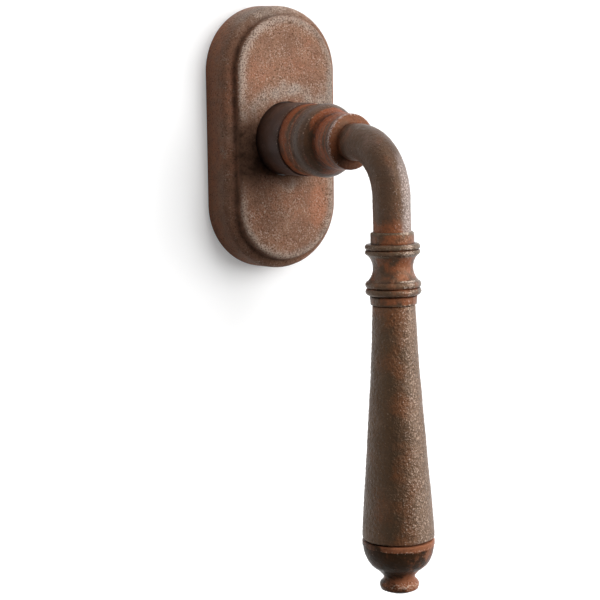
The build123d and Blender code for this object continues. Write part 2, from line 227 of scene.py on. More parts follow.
def bow(start, middle, end, step=FINE):
    """The arc of a circle through three points."""
    (ax, ay), (bx, by), (cx, cy) = start, middle, end
    turn = 2 * (ax * (by - cy) + bx * (cy - ay) + cx * (ay - by))
    x = ((ax**2 + ay**2) * (by - cy) + (bx**2 + by**2) * (cy - ay) + (cx**2 + cy**2) * (ay - by)) / turn
    y = ((ax**2 + ay**2) * (cx - bx) + (bx**2 + by**2) * (ax - cx) + (cx**2 + cy**2) * (bx - ax)) / turn
    first = atan2(ay - y, ax - x)
    sweep = atan2(cy - y, cx - x) - first
    if turn > 0 > sweep:
        sweep += 2 * pi
    elif turn < 0 < sweep:
        sweep -= 2 * pi
    return arc((x, y), hypot(ax - x, ay - y), degrees(first), degrees(first + sweep), step)


def curve(start, end, start_slope, end_slope, step=FINE):
    """A smooth stretch between two points that leaves and arrives along the given directions."""
    length = hypot(end[0] - start[0], end[1] - start[1])
    count = max(4, round(1.1 * length / step))
    points = []
    for k in range(count + 1):
        t = k / count
        from_start, to_end = 2 * t**3 - 3 * t**2 + 1, 3 * t**2 - 2 * t**3
        leave, arrive = t**3 - 2 * t**2 + t, t**3 - t**2
        points.append(tuple(
            from_start * start[i] + to_end * end[i]
            + length * (leave * start_slope[i] + arrive * end_slope[i]) for i in (0, 1)
        ))
    return points


def through(points, start_slope, end_slope, step=FINE):
    """A smooth line through several points, which passes each one along the line of its neighbours."""
    slopes = [start_slope]
    for before, after in zip(points, points[2:]):
        length = hypot(after[0] - before[0], after[1] - before[1])
        slopes.append(((after[0] - before[0]) / length, (after[1] - before[1]) / length))
    slopes.append(end_slope)
    stretches = zip(points, points[1:], slopes, slopes[1:])
    return [point for start, end, s0, s1 in stretches for point in curve(start, end, s0, s1, step)]


def half_section(*stretches):
    """Stretches joined end to end, with the doubled points at their joints dropped."""
    least_gap = 0.01
    points = []
    for stretch in stretches:
        for point in stretch:
            if not points or hypot(point[0] - points[-1][0], point[1] - points[-1][1]) > least_gap:
                points.append(point)
    return points


# Mesh work

def spun(points, segments, closed):
    """A turned shell: the half section spun round the spindle axis, still in millimetres."""
    least_gap = 0.0005
    shell = bmesh.new()
    section = [shell.verts.new((0, -station, radius)) for station, radius in points]
    pairs = list(zip(section, section[1:]))
    if closed:
        pairs.append((section[-1], section[0]))
    outline = [shell.edges.new(pair) for pair in pairs]
    bmesh.ops.spin(
        shell, geom=section + outline, cent=(0, 0, 0), axis=(0, 1, 0), dvec=(0, 0, 0),
        angle=2 * pi, steps=segments, use_merge=True, use_normal_flip=False, use_duplicate=False,
    )
    bmesh.ops.remove_doubles(shell, verts=shell.verts, dist=least_gap)
    bmesh.ops.recalc_face_normals(shell, faces=shell.faces)
    return shell


def drawn_out(shell, ring, move):
    """Extrudes a ring of edges by this much and returns the new ring."""
    grown = bmesh.ops.extrude_edge_only(shell, edges=ring)["geom"]
    verts = [part for part in grown if isinstance(part, bmesh.types.BMVert)]
    bmesh.ops.translate(shell, vec=move, verts=verts)
    return [part for part in grown if isinstance(part, bmesh.types.BMEdge) and part.is_boundary]


def off_axis(point):
    """Distance from the spindle axis, which is a turned piece's radius while it is drawn."""
    return hypot(point.x, point.z)


def hump(value, middle, width):
    """One at the middle, falling off smoothly over the width to either side."""
    return exp(-(((value - middle) / width) ** 2))


def rise(value, start, width):
    """Nought up to the start, then straight up to one over the width."""
    return min(max((value - start) / width, 0), 1)


def uneven(point, size):
    """Soft noise round nought, its swells about this many millimetres across."""
    return noise.noise(point / size)


def bumps(point, size):
    """Small round bumps with creases between them, as on a peened or sand-cast skin."""
    usual_distance = 0.45
    return usual_distance - noise.voronoi(point / size)[0][0]


def cast_relief(swell, swell_height, bump, bump_height):
    """The relief of a cast or peened skin, from broad swells and small bumps."""
    return lambda point: swell_height * uneven(point, swell) + bump_height * bumps(point, bump)


def beyond_radius(radius):
    """The skin of a turned piece outside this radius, which leaves its bore smooth."""
    return lambda point: float(off_axis(point) > radius)


def roughen(shell, relief, skin):
    """Moves the outer skin in and out along its normals by the relief at each point."""
    shell.normal_update()
    for vert in shell.verts:
        share = skin(vert.co)
        if share > 0:
            vert.co += vert.normal * relief(vert.co) * share


def on_grip(shell):
    """Moves a piece drawn along the spindle axis onto the tilted grip axis."""
    tilt = Matrix.Rotation(radians(90 - grip_tilt), 4, "X")
    bmesh.ops.transform(shell, matrix=Matrix.Translation((0, -arm_reach, 0)) @ tilt, verts=shell.verts)


def curvature(mesh):
    """How far each point stands out from (+) or lies in (-) the mean of its neighbours, per mm."""
    smoothing_rounds, tiny = 3, 1e-9
    count = len(mesh.vertices)
    places = np.empty(count * 3)
    mesh.vertices.foreach_get("co", places)
    places = places.reshape(-1, 3) / MM
    normals = np.array([vert.normal for vert in mesh.vertices])
    edges = np.empty(len(mesh.edges) * 2, int)
    mesh.edges.foreach_get("vertices", edges)
    first, second = edges.reshape(-1, 2).T
    neighbours = np.zeros(count)
    bend = np.zeros(count)
    gap = places[second] - places[first]
    square = (gap**2).sum(1) + tiny
    for here, way in ((first, 1), (second, -1)):
        np.add.at(bend, here, -way * (gap * normals[here]).sum(1) / square)
        np.add.at(neighbours, here, 1)
    bend /= np.maximum(neighbours, 1)
    for _ in range(smoothing_rounds):
        total = bend.copy()
        np.add.at(total, first, bend[second])
        np.add.at(total, second, bend[first])
        bend = total / (neighbours + 1)
    return bend


def finished(shell, name, node, body, finish, fields):
    """Turns a shell into the piece that stands for a node, with its fields of wear and painted highlight,
    rust and painted light, grime and painted shade, and bloom and painted sheen.
    """
    sharpest_smooth_edge = 50
    mesh = bpy.data.meshes.new(name)
    bmesh.ops.scale(shell, vec=(MM, MM, MM), verts=shell.verts)
    shell.to_mesh(mesh)
    shell.free()
    mesh.polygons.foreach_set("use_smooth", [True] * len(mesh.polygons))
    mesh.set_sharp_from_angle(angle=radians(sharpest_smooth_edge))
    values = [fields(vert.co / MM, bend) for vert, bend in zip(mesh.vertices, curvature(mesh))]
    for kind, column in zip(("worn_and_highlight", "rust", "grime_and_shade", "bloom_and_sheen"), zip(*values)):
        attribute = mesh.attributes.new(kind, "FLOAT", "POINT")
        attribute.data.foreach_set("value", np.clip(column, 0, 1).astype(np.float32))
    mesh.materials.append(finish)
    piece = bpy.data.objects.new(name, mesh)
    bpy.context.scene.collection.objects.link(piece)
    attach(piece, body)
    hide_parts(node)


# Finishes

def paint(red, green, blue):
    """A colour given from 0 to 255, in the linear values that shaders use."""
    parts = [value / 255 for value in (red, green, blue)]
    return tuple(p / 12.92 if p < 0.04045 else ((p + 0.055) / 1.055) ** 2.4 for p in parts) + (1.0,)


def darker(colour, share):
    """This share of a colour's light."""
    return tuple(share * part for part in colour[:3]) + (1.0,)


def add_node(tree, kind, inputs, **settings):
    """A shader node whose inputs are linked to other nodes' outputs or set to plain values."""
    made = tree.nodes.new(kind)
    for setting, value in settings.items():
        setattr(made, setting, value)
    for socket, value in inputs.items():
        if isinstance(value, bpy.types.NodeSocket):
            tree.links.new(value, made.inputs[socket])
        else:
            made.inputs[socket].default_value = value
    return made


class Finish:
    """A material with short calls for the few nodes that these finishes are mixed from."""

    def __init__(self, name, **shader_values):
        self.material = bpy.data.materials.new(name)
        self.material.use_nodes = True
        self.tree = self.material.node_tree
        self.shader = self.tree.nodes["Principled BSDF"]
        for socket, value in shader_values.items():
            self.shader.inputs[socket.replace("_", " ")].default_value = value
        self.place = self.tree.nodes.new("ShaderNodeTexCoord").outputs["Object"]

    def node(self, kind, inputs, **settings):
        """The first output of a new node."""
        return add_node(self.tree, kind, inputs, **settings).outputs[0]

    def shifted(self, seed):
        """Object coordinates moved aside, so that two patterns of one kind don't coincide."""
        offset = (0.013 * seed, 0.029 * seed, 0.007 * seed)
        return self.node("ShaderNodeMapping", {"Vector": self.place, "Location": offset})

    def cloud(self, size, seed, detail=3.0, roughness=0.55, distortion=0.0):
        """Noise whose features are about this many millimetres across."""
        inputs = {"Vector": self.shifted(seed), "Scale": 1 / (size * MM), "Detail": detail,
                  "Roughness": roughness, "Distortion": distortion}
        return self.node("ShaderNodeTexNoise", inputs)

    def field(self, kind):
        """One of the fields that the piece keeps at its mesh points."""
        return add_node(self.tree, "ShaderNodeAttribute", {}, attribute_name=kind).outputs["Fac"]

    def math(self, operation, first, second, third=0.0):
        """One step of arithmetic."""
        return self.node("ShaderNodeMath", {0: first, 1: second, 2: third}, operation=operation)

    def between(self, value, low, high, start=0.0, end=1.0):
        """A smooth change from start to end while the value goes from low to high."""
        inputs = {"Value": value, "From Min": low, "From Max": high, "To Min": start, "To Max": end}
        return self.node("ShaderNodeMapRange", inputs, interpolation_type="SMOOTHSTEP")

    def mix(self, share, first, second):
        """The first colour, with this share of the second over it."""
        mixer = add_node(self.tree, "ShaderNodeMix", {0: share, 6: first, 7: second}, data_type="RGBA")
        return mixer.outputs[2]

    def feed(self, socket, value):
        """Leads a value into one of the shader's sockets."""
        self.tree.links.new(value, self.shader.inputs[socket])

    def relief(self, height, depth):
        """Fine relief that is too small for the mesh, this many millimetres high."""
        self.feed("Normal", self.node("ShaderNodeBump", {"Height": height, "Distance": depth * MM}))


# The wax's sheen is warm, so that it doesn't grey the dark browns.
warm_sheen = (1.0, 0.64, 0.42, 1.0)


def rusted_iron(name, seed, ground, shade, rust, worn_and_highlight, bloom_and_sheen, patch, grain, depth,
                gloss, matt, polish, pitting):
    """Iron with a waxed rust patina: soft patches of rust and bloom, with pits and pale worn grains, and with
    painted light where the fields put it: painted shade, sheen and highlights.

    The colours are mixed with ground and shade in broad patches and the rest where the fields say.
    Patch, grain and depth are in millimetres, gloss and matt are the least and most roughness, and polish
    and pitting are shares.
    """
    ground, shade, rust, worn_and_highlight, bloom_and_sheen = (paint(*colour) for colour in (ground, shade, rust, worn_and_highlight, bloom_and_sheen))
    pit, dirt_and_shade = darker(shade, 0.4), darker(shade, 0.18)
    iron = Finish(name, Specular_Tint=warm_sheen)
    broad = iron.cloud(patch, seed, detail=5, roughness=0.6, distortion=0.5)
    blotch = iron.cloud(patch * 0.3, seed + 1, detail=5, roughness=0.65)
    specks = iron.cloud(grain * 1.8, seed + 2, detail=2.5, roughness=0.55)
    grit = iron.cloud(grain, seed + 3, detail=2.5, roughness=0.6)
    colour = iron.mix(iron.between(broad, 0.38, 0.62), shade, ground)
    # Rust, and on the finial and the tops of the neck painted light as well
    rust_and_light_share = iron.math("MULTIPLY_ADD", blotch, 1.2, iron.field("rust"))
    colour = iron.mix(iron.between(rust_and_light_share, 0.75, 1.5, end=0.9), colour, rust)
    # Bloom, and painted sheen on the grip, the lever and the top of the skirt
    bloom_and_sheen_share = iron.math("MULTIPLY_ADD", blotch, 0.8, iron.field("bloom_and_sheen"))
    colour = iron.mix(iron.between(bloom_and_sheen_share, 0.5, 1.3, end=0.85), colour, bloom_and_sheen)
    colour = iron.mix(iron.between(grit, 0.3, 0.46, pitting, 0.0), colour, pit)
    # Pale worn grains, and painted highlights where the light falls on grip, lever, collar and finial
    wear_and_highlight = iron.math("MULTIPLY_ADD", iron.field("worn_and_highlight"), 0.36, grit)
    colour = iron.mix(iron.between(wear_and_highlight, 0.66, 0.88, end=0.85), colour, worn_and_highlight)
    # Grime, and painted shade and shadows, mixed towards a dark colour; they also take the shine off below
    dirt_and_shade_share = iron.math("MULTIPLY", iron.field("grime_and_shade"), iron.between(blotch, 0.3, 0.6, 1.0, 0.7))
    iron.feed("Base Color", iron.mix(dirt_and_shade_share, colour, dirt_and_shade))
    iron.feed("Roughness", iron.between(blotch, 0.35, 0.65, gloss, matt))
    iron.feed("Specular IOR Level", iron.math("MULTIPLY_ADD", iron.field("grime_and_shade"), -polish, polish))
    iron.relief(iron.math("MULTIPLY_ADD", grit, 0.6, specks), depth)
    return iron.material


def metal(name, seed, colour, tone, matt, depth, mark=0.6, stretch=(1.0, 1.0, 1.0)):
    """A plain workshop metal: faint clouding, and fine marks that can be drawn out along one direction."""
    steel = Finish(name, Metallic=1.0)
    placed = {"Vector": steel.place, "Scale": stretch, "Location": (0.01 * seed,) * 3}
    drawn = steel.node("ShaderNodeMapping", placed)
    marks = steel.node("ShaderNodeTexNoise", {"Vector": drawn, "Scale": 1 / (mark * MM), "Detail": 4.0})
    clouding = steel.between(steel.cloud(6.0, seed, detail=4), 0.3, 0.7)
    steel.feed("Base Color", steel.mix(clouding, paint(*colour), paint(*tone)))
    steel.feed("Roughness", steel.between(marks, 0.3, 0.7, matt - 0.08, matt + 0.14))
    steel.relief(marks, depth)
    return steel.material


def plastic(name, seed, colour):
    """A moulded plastic that lets a little light in."""
    moulded = Finish(name, Roughness=0.42, Subsurface_Weight=0.15, Subsurface_Scale=0.001)
    clouding = moulded.between(moulded.cloud(3.0, seed), 0.3, 0.7)
    pale = paint(*colour)
    moulded.feed("Base Color", moulded.mix(clouding, pale, darker(pale, 0.86)))
    moulded.relief(moulded.cloud(0.25, seed + 1), 0.006)
    return moulded.material


rose_finish = rusted_iron(
    "rose sandy rust", seed=1, ground=(150, 113, 92), shade=(134, 99, 80), rust=(168, 114, 88),
    worn_and_highlight=(190, 168, 153), bloom_and_sheen=(152, 142, 132), patch=8.0, grain=0.4, depth=0.24,
    gloss=0.5, matt=0.7, polish=0.1, pitting=1.0,
)
sleeve_finish = rusted_iron(
    "sleeve dark oxide", seed=2, ground=(84, 61, 52), shade=(64, 48, 42), rust=(88, 55, 40),
    worn_and_highlight=(150, 132, 122), bloom_and_sheen=(88, 76, 74), patch=5.0, grain=0.5, depth=0.03,
    gloss=0.4, matt=0.55, polish=0.15, pitting=0.2,
)
neck_finish = rusted_iron(
    "neck red rust", seed=3, ground=(84, 56, 39), shade=(62, 42, 30), rust=(140, 72, 40),
    worn_and_highlight=(176, 146, 126), bloom_and_sheen=(92, 82, 77), patch=6.0, grain=0.45, depth=0.12,
    gloss=0.34, matt=0.48, polish=0.3, pitting=0.7,
)
lever_finish = rusted_iron(
    "lever brown rust", seed=4, ground=(77, 55, 41), shade=(63, 46, 36), rust=(126, 70, 42),
    worn_and_highlight=(208, 192, 186), bloom_and_sheen=(132, 119, 114), patch=8.0, grain=0.4, depth=0.16,
    gloss=0.36, matt=0.5, polish=0.5, pitting=0.7,
)
collar_finish = rusted_iron(
    "collar orange rust", seed=5, ground=(80, 54, 38), shade=(52, 36, 26), rust=(134, 77, 48),
    worn_and_highlight=(206, 186, 170), bloom_and_sheen=(98, 86, 70), patch=4.0, grain=0.4, depth=0.16,
    gloss=0.28, matt=0.44, polish=0.5, pitting=0.6,
)
grip_finish = rusted_iron(
    "grip peened rust", seed=6, ground=(54, 35, 18), shade=(40, 27, 14), rust=(98, 56, 30),
    worn_and_highlight=(192, 168, 152), bloom_and_sheen=(108, 88, 73), patch=10.0, grain=0.45, depth=0.38,
    gloss=0.38, matt=0.5, polish=0.65, pitting=0.8,
)
finial_finish = rusted_iron(
    "finial red rust", seed=7, ground=(52, 32, 18), shade=(34, 23, 13), rust=(152, 96, 68),
    worn_and_highlight=(206, 180, 160), bloom_and_sheen=(84, 68, 56), patch=4.0, grain=0.4, depth=0.12,
    gloss=0.3, matt=0.44, polish=0.12, pitting=0.5,
)
zinc_finish = metal(
    "zinc casting", seed=11, colour=(136, 138, 141), tone=(118, 120, 124), matt=0.6, depth=0.02, mark=0.5,
)
plated_finish = metal(
    "zinc plated steel", seed=12, colour=(188, 189, 185), tone=(162, 164, 167), matt=0.28, depth=0.006,
    stretch=(1, 0.08, 1),
)
spring_finish = metal(
    "blued spring steel", seed=13, colour=(92, 96, 108), tone=(64, 66, 78), matt=0.34, depth=0.005,
    stretch=(1, 1, 0.1),
)
acetal_finish = plastic("natural acetal", seed=14, colour=(232, 228, 216))


# Rose cover

def round_the_rose(share):
    """Which end's centre and which direction a place has, this share of the way round."""
    round_length, side_length = pi * face_radius, 2 * straight_half
    along = 2 * share * (round_length + side_length)
    below = along >= round_length + side_length
    if below:
        along -= round_length + side_length
    angle, centre = along / face_radius, straight_half
    if along > round_length:
        angle, centre = pi, straight_half - (along - round_length)
    if below:
        angle, centre = angle + pi, -centre
    return centre, angle


def rose_point(share, reach, depth, to_hole=0.0):
    """A point of the rose at this reach from its centre line, or part of the way to its hole."""
    centre, angle = round_the_rose(share)
    hole = sleeve_radius + cover_hole_gap
    across, up = reach * cos(angle), centre + reach * sin(angle)
    turn = 2 * pi * share
    across += to_hole * (hole * cos(turn) - across)
    up += to_hole * (hole * sin(turn) - up)
    return Vector((across, -depth, up))


def rose_rings():
    """The reach, depth and nearness to the hole of each ring, round the whole shell from its face."""
    ceiling_rings, hole_rings, face_rings = 6, 4, 46
    ceiling, cavity, inner = face_depth - rose_wall, rose_radius - rose_wall, face_radius - rose_wall
    flat_end = face_radius - face_edge_radius
    round_and_hollow = shoulder_radius + riser_fillet
    meeting = degrees(asin((face_radius + round_and_hollow - shoulder_reach) / round_and_hollow))
    hollow_depth = skirt_depth + round_and_hollow * cos(radians(meeting))
    outside = half_section(
        arc((face_depth - face_edge_radius, flat_end), face_edge_radius, 0, 90, step=0.2),
        arc((hollow_depth, face_radius + riser_fillet), riser_fillet, 270, 180 + meeting, step=0.2),
        arc((skirt_depth, shoulder_reach - shoulder_radius), shoulder_radius, meeting, 90),
        line((skirt_depth, shoulder_reach), (rose_back, rose_radius), step=0.34),
    )
    inside = corners(
        (rose_back, rose_radius), (rose_back, cavity), (shoulder_depth - rose_wall, cavity),
        (shoulder_depth - rose_wall, inner), (ceiling, inner), step=2.0,
    )
    rings = [(reach, depth, 0.0) for depth, reach in half_section(outside, inside)]
    rings += [(inner, ceiling, k / ceiling_rings) for k in range(1, ceiling_rings + 1)]
    rings += [(inner, ceiling + rose_wall * k / hole_rings, 1.0) for k in range(1, hole_rings + 1)]
    rings += [(flat_end, face_depth, 1 - k / face_rings) for k in range(1, face_rings)]
    return rings


def ring_shell(rings, around, closed):
    """A shell through rings round the rose, each one drawn out of the last."""
    shell = bmesh.new()
    share = shell.verts.layers.float.new("share")
    first = []
    for k in range(around):
        vert = shell.verts.new(rose_point(k / around, *rings[0]))
        vert[share] = k / around
        first.append(vert)
    ring = [shell.edges.new(pair) for pair in zip(first, first[1:] + first[:1])]
    start = ring
    for place in rings[1:]:
        grown = bmesh.ops.extrude_edge_only(shell, edges=ring)["geom"]
        for vert in grown:
            if isinstance(vert, bmesh.types.BMVert):
                vert.co = rose_point(vert[share], *place)
        ring = [edge for edge in grown if isinstance(edge, bmesh.types.BMEdge) and edge.is_boundary]
    if closed:
        bmesh.ops.bridge_loops(shell, edges=start + ring)
    bmesh.ops.recalc_face_normals(shell, faces=shell.faces)
    return shell


def rose_reach(point):
    """Distance from the rose's centre line."""
    return hypot(point.x, max(abs(point.z) - straight_half, 0))


# How far down its edge the face keeps its own relief and look
face_skin = 0.9


def rose_skin(point):
    """Full on the face, less on the skirt and fading towards the sash, and none inside."""
    outer_skin, skirt_share = 0.6, 0.45
    reach, depth = rose_reach(point), -point.y
    if depth > face_depth - face_skin:
        return 1.0
    on_skirt = reach > rose_radius - outer_skin
    on_shoulder = reach > face_radius - 1 and depth > shoulder_depth - outer_skin
    return skirt_share * min(depth / 2, 1) if on_skirt or on_shoulder else 0.0


def rose_relief(point):
    """Two sizes of swell and the small grains of the sand mould."""
    return 0.08 * uneven(point, 8.0) + 0.06 * uneven(point, 2.2) + 0.11 * bumps(point, 0.85)


def spot(point, x, z, across, up):
    """A soft oval spot on the rose's face."""
    return hump(point.x, x, across) * hump(point.z, z, up)


def face_fields(point):
    """Pale grains along the left edge, a grey halo round the sleeve, an orange patch low on the right, and
    painted shadows: the neck's shadow to the left of the sleeve and a contact shadow under it.
    """
    from_sleeve = off_axis(point) - sleeve_radius
    broad, blotches = uneven(point, 7.0), uneven(point, 3.0)
    edge = hump(rose_reach(point), face_radius - 1.0, 1.7)
    leftward = rise(-point.x, -7, 14) * rise(point.z, -42, 60)
    halo = hump(from_sleeve, 3.2, 2.4) * rise(point.z, -7.2, 12)
    below = hump(from_sleeve, 2.6, 2.0) * hump(point.x, 1, 8) * float(point.z < 0)
    # Painted contact shadow below and left of the sleeve
    painted_contact_shadow = hump(from_sleeve, 0, 3.0) * rise(-point.z - 0.6 * point.x, -4, 10)
    # Painted shadow of the neck, to the left of the sleeve
    painted_neck_shadow = min(1.6 * spot(point, x=-12.0, z=-3.5, across=5.0, up=8.5), 1)
    orange = spot(point, x=9.5, z=-17, across=2.6, up=6)
    pale = spot(point, x=12.5, z=7, across=4.0, up=9)
    worn_and_highlight = (0.36 + 0.25 * blotches + (0.12 + 0.3 * leftward) * edge + 0.22 * halo) * (1 - painted_neck_shadow)
    rust = 0.25 + 0.35 * broad + 0.8 * orange - 0.3 * halo - 0.3 * edge
    bloom_and_sheen = ((0.6 + 0.5 * blotches) * max(halo, 0.7 * below, 0.8 * pale) + 0.55 * edge) * (1 - painted_neck_shadow)
    return worn_and_highlight, rust, max(0.95 * painted_neck_shadow, painted_contact_shadow), bloom_and_sheen


def skirt_fields(point):
    """Dull brown sides, darker all round except on top, where painted light makes it paler, and redder
    towards the sash and half way up.
    """
    depth = -point.y
    broad, blotches = uneven(point, 7.0), uneven(point, 3.0)
    # Painted light on the top of the skirt
    painted_top_light = rise(point.z, 27, 8)
    shoulder_line = hump(depth, shoulder_depth - 1.4, 1.8)
    shoulder = hump(depth, shoulder_depth - 1.6, 2.4)
    worn_and_highlight = 0.1 + (0.15 + 0.5 * blotches) * shoulder_line + 0.35 * painted_top_light
    half_way_up, rim = hump(point.z, 6, 18), hump(depth, 1, 2.5)
    rust = 0.4 + 0.25 * broad + 0.25 * half_way_up + 0.3 * rim - 0.25 * shoulder
    bloom_and_sheen = 0.3 * max(-broad, 0) + 0.5 * painted_top_light + 0.1 * shoulder
    return worn_and_highlight, rust, 0.32 * (1 - 0.7 * painted_top_light), bloom_and_sheen


def rose_fields(point, bend):
    """The face's fields and the skirt's, blended over the edge, with painted shade and patina at the foot of
    the riser.
    """
    depth = -point.y
    face = rise(depth, face_depth - face_skin, 0.7)
    both = zip(face_fields(point), skirt_fields(point))
    worn_and_highlight, rust, grime_and_shade, bloom_and_sheen = (face * on_face + (1 - face) * on_skirt for on_face, on_skirt in both)
    # Painted shade and patina at the foot of the riser
    riser_shade_and_patina = hump(depth, shoulder_depth + 0.9, 1.1) * hump(rose_reach(point), face_radius + 0.2, 1.4)
    return worn_and_highlight, rust, grime_and_shade + 0.15 * max(-bend, 0) + 0.5 * riser_shade_and_patina, bloom_and_sheen


# What the turned pieces share

def turned_fields(rust_and_light_at, bloom_and_sheen_at, wear_and_highlight_at, grime_and_shade_at, crest_wear, groove_grime):
    """The fields of a turned piece: the rules given, with more wear on crests and more grime in grooves."""
    def fields(point, bend):
        worn_and_highlight = crest_wear * max(bend, 0) + wear_and_highlight_at(point)
        grime_and_shade = groove_grime * max(-bend, 0) + grime_and_shade_at(point)
        return worn_and_highlight, rust_and_light_at(point), grime_and_shade, bloom_and_sheen_at(point)
    return fields


# Bearing sleeve

def bearing_sleeve():
    """A plain ring with a spigot in the base plate's block and a counterbore for the neck's tongue."""
    counterbore = sleeve_radius - counterbore_rim
    floor = sleeve_front - counterbore_depth
    edge = sleeve_edge_radius
    section = half_section(
        line((block_depth, sleeve_radius), (sleeve_front - edge, sleeve_radius)),
        arc((sleeve_front - edge, sleeve_radius - edge), edge, 90, 0, step=0.08),
        corners(
            (sleeve_front, sleeve_radius - edge), (sleeve_front, counterbore), (floor, counterbore),
            (floor, sleeve_bore), (sleeve_back, sleeve_bore), (sleeve_back, sleeve_spigot),
            (block_depth, sleeve_spigot), (block_depth, sleeve_radius),
        ),
    )
    return spun(section, segments=200, closed=True)


def sleeve_rust(point):
    """Brown clouds in the dark oxide."""
    return 0.3 + 0.5 * uneven(point, 4)


def sleeve_bloom(point):
    """Purplish grey between the dark foot and the front edge."""
    return 0.6 * hump(-point.y, sleeve_front - 2, 3.5) + 0.3 * uneven(point, 3)


def sleeve_wear(point):
    """A thin pale line along the front edge."""
    outside = float(off_axis(point) > sleeve_radius - 0.15)
    return 0.4 * hump(-point.y, sleeve_front - 0.4, 0.4) * outside


def sleeve_dark_at_rose(point):
    """Darker where the sleeve stands in the rose."""
    return 0.6 * hump(-point.y, face_depth, 2.2)


# Handle neck

def handle_neck():
    """Journal, groove and tongue, then barrel, ridge, cove and nose, with the bore for the tenon."""
    ring_back, disc_back = depths("retaining_ring")[0], depths("disc_spring")[0]
    tongue_back = depths("thrust_washer")[1] + running_gap
    bore, bore_floor = tenon_radius + running_gap, tenon_end - tenon_end_gap
    back = corners(
        (neck_back, 0), (neck_back, journal_radius), (ring_back, journal_radius), (ring_back, groove_radius),
        (disc_back, groove_radius), (disc_back, journal_radius), (tongue_back, journal_radius),
        (tongue_back, tongue_radius), (neck_root, tongue_radius), (neck_root, barrel_root_radius),
    )
    barrel_back, barrel_front = (neck_root, barrel_root_radius), (barrel_end, step_radius)
    ridge = (ridge_depth, ridge_radius)
    nose_back, nose_front = (cove_depth, cove_radius), (neck_front, nose_end_radius)
    front = half_section(
        bow(barrel_back, (neck_root + barrel_crest, barrel_radius), barrel_front, step=0.22),
        curve(barrel_front, ridge, (0.95, 0.3), (1, 0), step=0.22),
        curve(ridge, nose_back, (1, 0), (1, 0), step=0.22),
        bow(nose_back, (cove_depth + nose_length / 2, nose_radius), nose_front, step=0.22),
        corners(nose_front, (neck_front, bore), (bore_floor, bore), (bore_floor, 0)),
    )
    return spun(half_section(back, front), segments=200, closed=False)


def neck_skin(point):
    """All that shows of the neck, and neither its journal nor its bore."""
    widest_bore = 5.5
    return float(off_axis(point) > widest_bore and -point.y > neck_root + 0.2)


def turned_lines(point, pitch):
    """Faint rings left by the turning of the neck."""
    across = 14
    return noise.noise(Vector((point.x / across, point.y / pitch, point.z / across)))


def neck_rust_and_light(point):
    """Red barrel and nose with a greyer ridge between, and orange on top of the cove and the barrel, partly
    rust and partly painted light from above.
    """
    depth = -point.y
    grey = hump(depth, ridge_depth + 0.2, 3.4)
    upward = max(point.z / max(off_axis(point), 1), 0)
    # Orange on the tops of cove and barrel: rust, and painted light from above
    top = upward**2 * hump(depth, ridge_depth + 3.0, 1.9) + upward * hump(depth, neck_root + 1.8, 2.4)
    return 0.8 - 0.85 * grey + 0.8 * top + 0.3 * uneven(point, 4) + 0.9 * turned_lines(point, 0.8)


def neck_bloom(point):
    """Blue-grey on the ridge's near flank and along the front of the nose."""
    flank = hump(-point.y, ridge_depth - 0.5, 2.4)
    nose_edge = hump(-point.y, neck_front - 0.3, 0.5)
    return 0.95 * flank + 0.7 * nose_edge + 0.3 * turned_lines(point, 0.9)


def neck_wear(point):
    """A thin pale line along the front of the barrel."""
    return 0.1 + 0.25 * hump(-point.y, barrel_end - 0.4, 0.5) + 0.5 * turned_lines(point, 0.5)


def neck_cove_shade_and_dark_root(point):
    """Painted shade in the cove, and darker against the sleeve."""
    return 0.65 * hump(-point.y, cove_depth - 0.6, 1.3) + 0.6 * hump(-point.y, neck_root, 1.1)


# Lever arm

def lever_arm():
    """Tenon and flange turned, then the rod drawn out of them, bent down and necked to its tang."""
    crest = (flange_back + flange_width / 2, flange_radius)
    root_radius = rod_radius + rod_fillet
    section = half_section(
        corners((tenon_end, 0), (tenon_end, tenon_radius), (flange_back, tenon_radius),
                (flange_back, flange_rim_radius)),
        bow((flange_back, flange_rim_radius), crest, (flange_front, flange_rim_radius), step=0.12),
        line((flange_front, flange_rim_radius), (rod_start, root_radius), step=0.2),
        curve((rod_start, root_radius), (rod_start + rod_fillet, rod_radius), (0, -1), (1, 0), step=0.12),
    )
    shell = spun(section, segments=108, closed=False)
    ring = [edge for edge in shell.edges if edge.is_boundary]
    lead = rod_lead - rod_fillet
    steps = round(lead / FINE)
    for _ in range(steps):
        ring = drawn_out(shell, ring, Vector((0, -lead / steps, 0)))
    bend = radians(90 - grip_tilt)
    turned_down = bmesh.ops.spin(
        shell, geom=ring + list({vert for edge in ring for vert in edge.verts}),
        cent=(0, -rod_start - rod_lead, -bend_radius), axis=(1, 0, 0), dvec=(0, 0, 0),
        angle=bend, steps=round(bend_radius * bend / FINE), use_merge=False,
    )
    ring = [edge for edge in turned_down["geom_last"] if isinstance(edge, bmesh.types.BMEdge)]
    down = Matrix.Rotation(bend, 3, "X") @ Vector((0, -1, 0))
    drop = rod_end - bend_tangent
    steps = round(drop / FINE)
    for _ in range(steps):
        ring = drawn_out(shell, ring, down * (drop / steps))
    ring = drawn_out(shell, ring, Vector())
    rod_foot = Vector((0, -arm_reach, 0)) + down * rod_end
    for vert in {vert for edge in ring for vert in edge.verts}:
        vert.co = rod_foot + (vert.co - rod_foot) * tang_radius / rod_radius
    tang_steps = 12
    for _ in range(tang_steps):
        ring = drawn_out(shell, ring, down * ((tang_end - rod_end) / tang_steps))
    bmesh.ops.edgeloop_fill(shell, edges=ring)
    bmesh.ops.recalc_face_normals(shell, faces=shell.faces)
    return shell


def lever_skin(point):
    """Flange and rod as far as the collar, and neither tenon nor tang."""
    return float(-point.y > flange_back + 0.3 and point.z > -collar_start)


def facing(point):
    """The way a point of rod or grip looks, in degrees to the right of straight out."""
    return degrees(atan2(point.x, -arm_reach - point.y))


def by_the_neck(point):
    """One on the flange and the root of the rod, nought further down."""
    return float(point.z > -flange_radius - 1)


